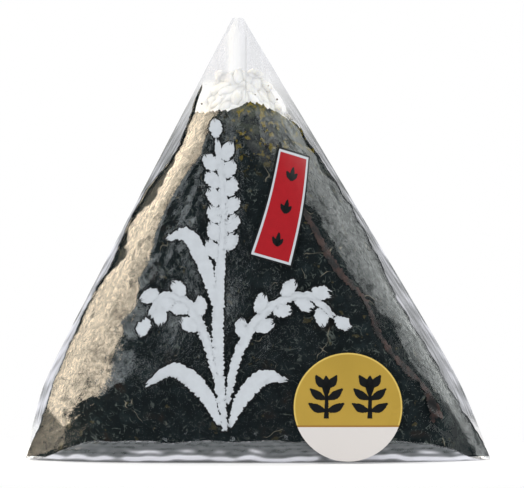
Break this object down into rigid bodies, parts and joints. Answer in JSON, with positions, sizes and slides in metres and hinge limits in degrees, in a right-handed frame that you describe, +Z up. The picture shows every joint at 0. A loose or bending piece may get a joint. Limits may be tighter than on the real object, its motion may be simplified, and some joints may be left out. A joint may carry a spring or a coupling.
{
  "type": "wrapped rice ball",
  "caption": "Triangular rice ball with seaweed in a sealed clear film wrapper, standing on its base, with a round label on the front.",
  "frame": {"origin": "middle of the flat base, on the surface the pack stands on", "axes": "+Z up, front with the label towards -Y, +X to the right as seen from the front"},
  "size_m": [0.096, 0.0344, 0.091],
  "materials": {
    "film_over_seaweed": "clear wrinkled film over dark seaweed and white rice",
    "label_gold": "gold printed paper label with an off-white foot"
  },
  "bodies": {
    "root": {"film_wrapper": "film_over_seaweed", "flavour_label": "label_gold"}
  },
  "joints": []
}
